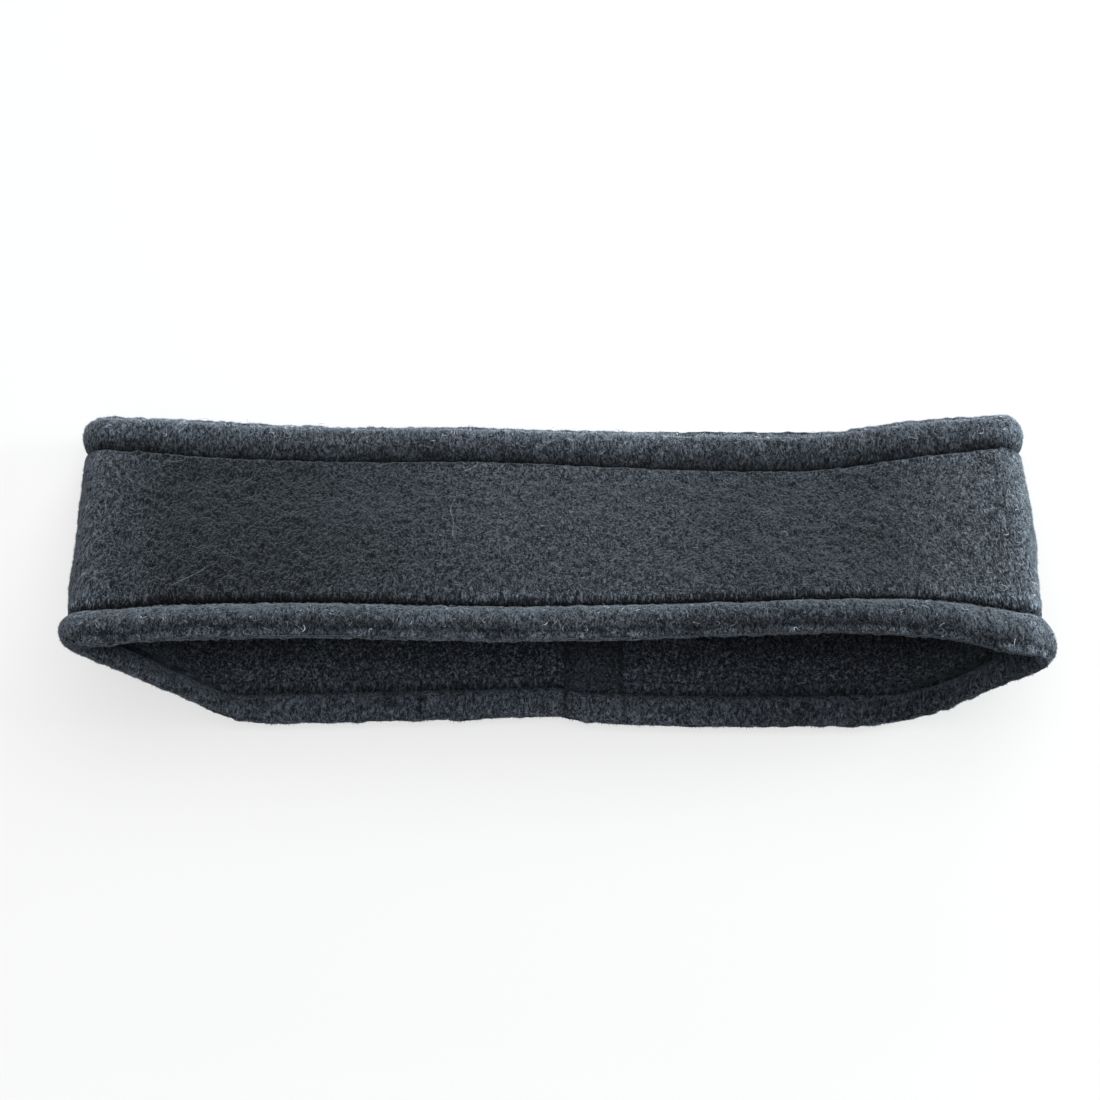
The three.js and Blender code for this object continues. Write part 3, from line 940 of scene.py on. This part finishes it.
def fleece(cloth, pit, pile, tip):
    """Brushed pile: dark pits between pale clumps, curled strands in three directions, mottled.
    The mesh says how much longer the clumps are up the band than round it, as its brushed values."""
    material, tree, shader = node_tree(cloth + "_fleece")
    nodes, link = tree.nodes, tree.links.new
    longer = nodes.new("ShaderNodeCombineXYZ")
    set_inputs(longer, {"X": 1, "Z": 1})
    link(attribute(tree, "brushed"), longer.inputs["Y"])
    shorten = nodes.new("ShaderNodeVectorMath")
    shorten.operation = "DIVIDE"
    link(object_place(tree), shorten.inputs[0])
    link(longer.outputs["Vector"], shorten.inputs[1])
    place = shorten.outputs["Vector"]

    def layer(label, vector):
        """One layer of the pattern, from 0 to 1."""
        row = next(row for row in LAYERS if row["layer"] == label)
        texture = nodes.new("ShaderNodeTexNoise")
        set_inputs(texture, {"Scale": row["scale"], "Detail": row["detail"], "Distortion": row["distortion"]})
        set_inputs(texture, {"Roughness": LAYER_ROUGHNESS})
        link(vector, texture.inputs["Vector"])
        level = nodes.new("ShaderNodeMapRange")
        level.interpolation_type = "SMOOTHSTEP"
        set_inputs(level, {"From Min": row["low"], "From Max": row["high"]})
        link(texture.outputs["Fac"], level.inputs["Value"])
        return level.outputs["Result"]

    def calculate(operation, first, second):
        node = nodes.new("ShaderNodeMath")
        node.operation = operation
        for socket, value in zip(node.inputs, (first, second)):
            if isinstance(value, (int, float)):
                socket.default_value = value
            else:
                link(value, socket)
        return node.outputs[0]

    def times(value, other, gain, base):
        """A value times a base and a gain of another."""
        return calculate("MULTIPLY", value, calculate("ADD", calculate("MULTIPLY", other, gain), base))

    def mix(factor, first, second):
        node = nodes.new("ShaderNodeMix")
        node.data_type = "RGBA"
        link(factor, node.inputs[0])
        for socket, value in zip([s for s in node.inputs if s.type == "RGBA"], (first, second)):
            if isinstance(value, tuple):
                socket.default_value = (*value, 1)
            else:
                link(value, socket)
        return next(s for s in node.outputs if s.type == "RGBA")

    strands = None
    for turn in STRAND_TURNS:
        mapping = nodes.new("ShaderNodeMapping")
        mapping.vector_type = "TEXTURE"
        set_inputs(mapping, {"Rotation": turn, "Scale": STRAND_SIZE})
        link(place, mapping.inputs["Vector"])
        strand = layer("strands", mapping.outputs["Vector"])
        strands = strand if strands is None else calculate("MAXIMUM", strands, strand)
    clumps, mottle, patches = (layer(label, place) for label in ("clumps", "mottle", "patches"))

    depth = times(times(clumps, mottle, **MOTTLED), patches, **PATCHED)
    raised = times(strands, clumps, **RAISED)
    link(toned(tree, mix(raised, mix(depth, pit, pile), tip)), shader.inputs["Base Color"])
    clump_relief = calculate("MULTIPLY", clumps, RELIEF["clumps"])
    strand_relief = calculate("MULTIPLY", strands, RELIEF["strands"])
    bump = nodes.new("ShaderNodeBump")
    set_inputs(bump, {"Strength": 1.0, "Distance": RELIEF["distance"]})
    link(calculate("ADD", clump_relief, strand_relief), bump.inputs["Height"])
    link(bump.outputs["Normal"], shader.inputs["Normal"])
    set_inputs(shader, {"Roughness": 1.0, "Specular IOR Level": 0.1, "Sheen Weight": 0.3,
                        "Sheen Roughness": 0.15, "Sheen Tint": (0.72, 0.86, 1.0, 1)})
    return material


def nap_material():
    """Fibres that are dark at the root and pale at the tip, some paler than others."""
    material, tree, shader = node_tree("nap_fibre")
    nodes, link = tree.nodes, tree.links.new
    spread = nodes.new("ShaderNodeTexNoise")
    set_inputs(spread, {"Scale": NAP_SPREAD["scale"]})
    link(object_place(tree), spread.inputs["Vector"])
    some = nodes.new("ShaderNodeMapRange")
    set_inputs(some, {"From Min": NAP_SPREAD["low"], "From Max": NAP_SPREAD["high"]})
    set_inputs(some, {"To Min": NAP_SPREAD["least"]})
    link(spread.outputs["Fac"], some.inputs["Value"])
    share = nodes.new("ShaderNodeMath")
    share.operation = "MULTIPLY"
    link(attribute(tree, "tip"), share.inputs[0])
    link(some.outputs["Result"], share.inputs[1])
    ramp = nodes.new("ShaderNodeValToRGB")
    for element, colour in zip(ramp.color_ramp.elements, NAP_COLOURS):
        element.color = (*colour, 1)
    link(share.outputs[0], ramp.inputs["Fac"])
    link(toned(tree, ramp.outputs["Color"]), shader.inputs["Base Color"])
    set_inputs(shader, {"Roughness": 0.8, "Specular IOR Level": 0.2})
    return material


def upward(along):
    return along / BAND_HEIGHT


def downward(along):
    return 1 - along / BAND_HEIGHT


CLOTHS = {row["cloth"]: fleece(**row) for row in COLOURS}
NAP = nap_material()
THREAD, _, thread_shader = node_tree("thread")
set_inputs(thread_shader, {"Base Color": (0.02, 0.023, 0.03, 1), "Roughness": 0.6})

# The panel
panel = sweep(panel_outline(), upward, PANEL_AROUND, NO_PUFF)
roughen(panel, SEEDS["panel"], panel["front"] * np.sin(np.pi * np.clip(panel["along"] / BAND_HEIGHT, 0, 1)))
# The panel's painted light: painted shade in the groove by each stitch line, a painted highlight on the
# shoulder beside it
to_line = np.minimum(panel["along"] - HEM_HEIGHT, BAND_HEIGHT - HEM_HEIGHT - panel["along"])
lower_painted, upper_painted = (read_row(PANEL_PAINTED_LIGHT, "from_line", side, to_line) for side in ("lower", "upper"))
painted_profile = np.where(panel["along"] < BAND_HEIGHT / 2, lower_painted, upper_painted)
panel["tone"] = painted_tone_of(panel, painted_profile, "panel", "lower")
panel["fluff"] = fluff_of(panel)
panel["brushed"] = np.where(is_outside(panel), BRUSHED["outside"], BRUSHED["inside"])
panel_piece = grid_object("panel_cloth", panel, CLOTHS["panel"], "fleece")
outside = is_outside(panel) & (panel["place"][..., 2] > NAP_ABOVE)
inside = ~is_outside(panel) & (panel["front"] < INSIDE_NAP["front"]) & (panel["along"] < INSIDE_NAP["along"])
panel_extras = [
    needles("panel_nap", panel, outside, PANEL_FIBRES, "fleece", SEEDS["panel_nap"]),
    needles("inside_nap", panel, inside, INSIDE_FIBRES, "fleece", SEEDS["inside_nap"]),
    curls("panel_curls", panel, outside, PANEL_CURLS, "fleece", SEEDS["panel_curls"]),
    strays("panel_strays", panel, PANEL_STRAYS, "fleece"),
]
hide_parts("band_panel")

# The hems
for node, side, to_share, puff in (
    ("bottom_hem", "lower", upward, LOWER_PUFF),
    ("top_hem", "upper", downward, UPPER_PUFF),
):
    outline = hem_outline()
    hem = sweep(outline if side == "lower" else outline[::-1], to_share, HEM_AROUND, puff)
    roughen(hem, SEEDS[node], np.zeros(hem["front"].shape))
    # The hem's painted light: painted highlights on its shoulder, rim and ridge, painted shade by the groove
    # and in the crease
    painted_profile = read_row(HEM_PAINTED_LIGHT, "along", side, hem["along"]) * painted_edge_tone(hem, side)
    hem["tone"] = painted_tone_of(hem, painted_profile * dashed(hem, SEEDS["dashes"]), "hem", side)
    hem["fluff"] = fluff_of(hem)
    hem["brushed"] = np.full(hem["front"].shape, BRUSHED["hem"])
    piece = grid_object(node + "_cloth", hem, CLOTHS["hem"], "hem_fleece")
    shown = (hem["place"][..., 2] > NAP_ABOVE) & (hem["pile"] > 0)
    outer = shown & (hem["out"] > BETWEEN_LAYERS)
    napped = shown if side == "lower" else outer
    extras = [
        needles(node + "_nap", hem, napped, HEM_FIBRES, "hem_fleece", SEEDS[node + "_nap"]),
        stitches(node + "_stitches", to_share, THREAD, "hem_fleece"),
        curls(node + "_curls", hem, outer, HEM_CURLS, "hem_fleece", SEEDS[node]),
    ]
    if side == "upper":
        extras.append(strays("top_hem_strays", hem, HEM_STRAYS, "hem_fleece"))
    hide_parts(node)


def seam_outline():
    """Outline across the seam allowance: its upper side, rounded down to both edges, and back under it."""
    low, high = WALL - SEAM["into_wall"], WALL + SEAM_THICKNESS - SEAM["pressed"]
    left = [(SEAM_LEFT + row["in"], high - row["down"]) for row in SEAM_ROUND]
    right = [(SEAM_RIGHT - row["in"], high - row["down"]) for row in reversed(SEAM_ROUND)]
    side = [(SEAM_LEFT, low), *left, (SEAM_LINE, high + SEAM["crown"]), *right, (SEAM_RIGHT, low)]
    under = even_line([side[-1], side[0]], SEAM["under_step"])
    return np.concatenate([even_line(side, SEAM["step"]), under[1:-1]]), low


def seam_strip():
    """The seam allowance: a flat strip with rounded sides, as rows of an outline swept in depth."""
    line, low = seam_outline()
    near_y = float(read_table(BACK_EDGE, "x", "y", SEAM_LEFT)) + FLAP_HEIGHT - SEAM["tuck"]
    ys = np.linspace(near_y, BACK_FAR_Y - FLAP_HEIGHT + SEAM["tuck"], SEAM_ROWS)
    place = np.stack([np.stack([line[:, 0], np.full(len(line), y), line[:, 1]], 1) for y in ys])
    normal = unit(np.cross(np.roll(place, -1, 1) - np.roll(place, 1, 1), np.array([0, 1.0, 0])))
    height = CLUMP["height"] * noise(place, CLUMP["wavelength"], SEEDS["seam"])
    height = height + TUFT["height"] * noise(place, TUFT["wavelength"], SEEDS["seam"] + 1)
    place = place + normal * height[..., None] * (line[:, 1] > low + FACE_MARGIN)[None, :, None]
    rows, columns = place.shape[:2]
    quads = grid_faces(rows, columns)[:(rows - 1) * columns]
    hub, last = rows * columns, (rows - 1) * columns
    caps = [(hub, (c + 1) % columns, c) for c in range(columns)]
    caps += [(hub + 1, last + c, last + (c + 1) % columns) for c in range(columns)]
    triangles = np.concatenate([quads[:, [0, 2, 1]], quads[:, [0, 3, 2]], np.array(caps)])
    vertices = np.concatenate([place.reshape(-1, 3), [place[0].mean(0), place[-1].mean(0)]])
    # The seam's tone is painted shade: paler near the mouth, darker deeper in and at its sides
    to_side = np.minimum(vertices[:, 0] - SEAM_LEFT, SEAM_RIGHT - vertices[:, 0])
    from_mouth = vertices[:, 1] - vertices[:, 1].min() + FLAP_HEIGHT
    tone = read_row(INSIDE_PAINTED_LIGHT, "along", "lower", from_mouth)
    return vertices, triangles, tone * read_row(SEAM_SIDE_PAINTED_SHADE, "to_side", "tone", to_side)


vertices, triangles, tone = seam_strip()
seam_piece = mesh_object("seam_cloth", vertices, triangles, CLOTHS["seam"], "seam_fleece",
                         tone=tone, brushed=np.full(len(vertices), BRUSHED["seam"]))
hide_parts("back_seam")

# Floor
floor_corners = [(x * FLOOR_REACH, y * FLOOR_REACH, 0) for x, y in ((-1, -1), (1, -1), (1, 1), (-1, 1))]
floor_mesh = bpy.data.meshes.new("floor")
floor_mesh.from_pydata(floor_corners, [], [(0, 1, 2, 3)])
floor = bpy.data.objects.new("floor", floor_mesh)
bpy.context.scene.collection.objects.link(floor)
paper, _, paper_shader = node_tree("paper")
set_inputs(paper_shader, {"Base Color": (0.18, 0.18, 0.18, 1), "Emission Color": (1, 1, 1, 1),
                          "Emission Strength": PAPER_GLOW, "Roughness": 0.9})
floor_mesh.materials.append(paper)

# Light
scene = bpy.context.scene
scene.view_settings.view_transform = "Standard"
world = bpy.data.worlds.new("studio")
scene.world = world
world.use_nodes = True
set_inputs(world.node_tree.nodes["Background"], {"Color": (1, 1, 1, 1), "Strength": WORLD_LIGHT})
for row in LIGHTS:
    light = bpy.data.lights.new(row["name"], "AREA")
    light.shape = "SQUARE"
    light.size = row["size"]
    light.energy = row["watts"]
    light.color = row["colour"]
    lamp = bpy.data.objects.new(row["name"], light)
    lamp.location = row["place"]
    lamp.rotation_euler = (-Vector(row["place"])).to_track_quat("-Z", "Y").to_euler()
    scene.collection.objects.link(lamp)

# Camera
target = Vector((SHIFT[0] * MM, SHIFT[1] * MM, CAMERA_AIM))
tilt = math.radians(CAMERA_ELEVATION)
camera_data = bpy.data.cameras.new("camera")
camera_data.sensor_width = SENSOR_MM
camera_data.lens = SENSOR_MM * FOCAL_PIXELS / PHOTO_PIXELS
camera_data.clip_start = CAMERA_CLIP
camera = bpy.data.objects.new("camera", camera_data)
camera.location = target + Vector((0, -math.cos(tilt), math.sin(tilt))) * CAMERA_DISTANCE
camera.rotation_euler = (math.pi / 2 - tilt, 0, 0)
scene.collection.objects.link(camera)
scene.camera = camera
